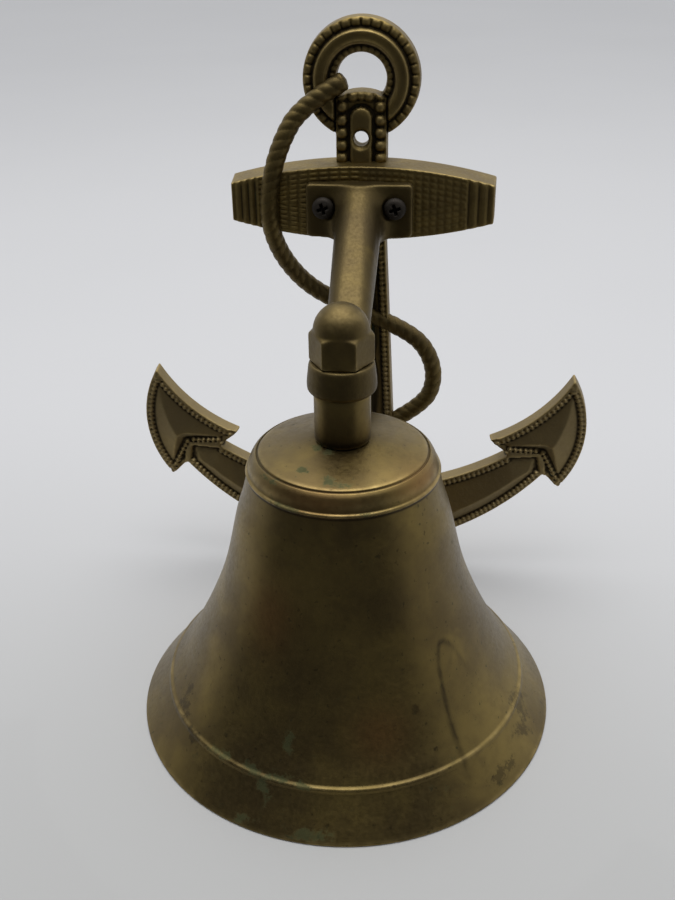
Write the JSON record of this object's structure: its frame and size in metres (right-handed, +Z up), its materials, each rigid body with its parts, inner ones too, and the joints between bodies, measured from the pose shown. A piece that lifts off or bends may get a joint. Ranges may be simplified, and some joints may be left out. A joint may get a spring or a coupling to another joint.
{
  "type": "ship bell",
  "caption": "Small brass ship bell hung from a sloping bracket arm on an anchor-shaped wall plate, with a swinging clapper inside.",
  "frame": {"origin": "middle of the object's footprint, in the plane of the bell's mouth, where the bell can stand on its rim", "axes": "+Z up along the bell's axis, +Y towards the wall that the anchor plate fastens to, +X to the right as seen from the front"},
  "size_m": [0.1842, 0.163, 0.2286],
  "materials": {
    "cast_brass": "aged satin brass, dark in the recesses and brighter on the edges",
    "bell_brass": "aged satin brass with a few green and dark spots",
    "turned_brass": "aged satin brass, handled bright on top",
    "inner_brass": "plain brass, less handled",
    "dark_steel": "blackened steel, dull"
  },
  "bodies": {
    "wall_bracket": {"anchor_plate": "cast_brass", "bracket_arm": "cast_brass", "bracket_screw_left": "dark_steel", "bracket_screw_right": "dark_steel"},
    "bell": {"bell_shell": "bell_brass", "spacer_sleeve": "turned_brass", "hanger_stud": "inner_brass", "cap_nut": "turned_brass", "crown_washer": "inner_brass", "crown_nut": "inner_brass"},
    "link": {"clapper_link": "inner_brass"},
    "clapper": {"clapper_rod": "inner_brass", "clapper_ball": "inner_brass", "lanyard_eye": "inner_brass"}
  },
  "joints": [
    {"name": "bell_swivel", "type": "hinge", "parent": "wall_bracket", "child": "bell", "pos_m": [0, -0.0065, 0.13], "axis": [0, 0, 1], "continuous": true},
    {"name": "link_swing", "type": "hinge", "parent": "bell", "child": "link", "pos_m": [0, -0.0065, 0.076], "axis": [1, 0, 0], "range_deg": [-38, 38]},
    {"name": "clapper_sway", "type": "hinge", "parent": "link", "child": "clapper", "pos_m": [0, -0.0065, 0.06545], "axis": [0, 1, 0], "range_deg": [-12, 12]}
  ]
}
